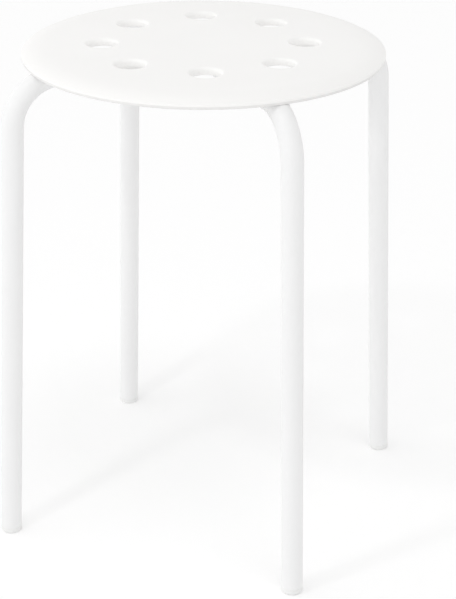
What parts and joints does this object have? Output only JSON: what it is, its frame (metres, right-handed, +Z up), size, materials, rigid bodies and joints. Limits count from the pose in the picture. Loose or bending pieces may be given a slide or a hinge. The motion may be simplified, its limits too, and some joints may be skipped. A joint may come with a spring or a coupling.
{
  "type": "stacking stool",
  "caption": "Backless stacking stool: a round moulded plastic seat with a ring of finger holes on two crossed U frames of bent steel tube with plastic foot caps.",
  "frame": {"origin": "on the floor, under the centre of the seat", "axes": "+Z up; the upper leg frame stands in the XZ plane and the lower one in the YZ plane"},
  "size_m": [0.4128, 0.4128, 0.45],
  "materials": {
    "seat_plastic": "satin moulded polypropylene, white",
    "powder_coat": "satin white powder coat on steel tube",
    "foot_plastic": "matte moulded plastic, white",
    "zinc_steel": "bright zinc plate"
  },
  "bodies": {
    "root": {"seat": "seat_plastic", "upper_leg_frame": "powder_coat", "lower_leg_frame": "powder_coat", "foot_cap_right": "foot_plastic", "foot_cap_back": "foot_plastic", "foot_cap_left": "foot_plastic", "foot_cap_front": "foot_plastic", "seat_screw_right": "zinc_steel", "seat_screw_back": "zinc_steel", "seat_screw_left": "zinc_steel", "seat_screw_front": "zinc_steel"}
  },
  "joints": []
}
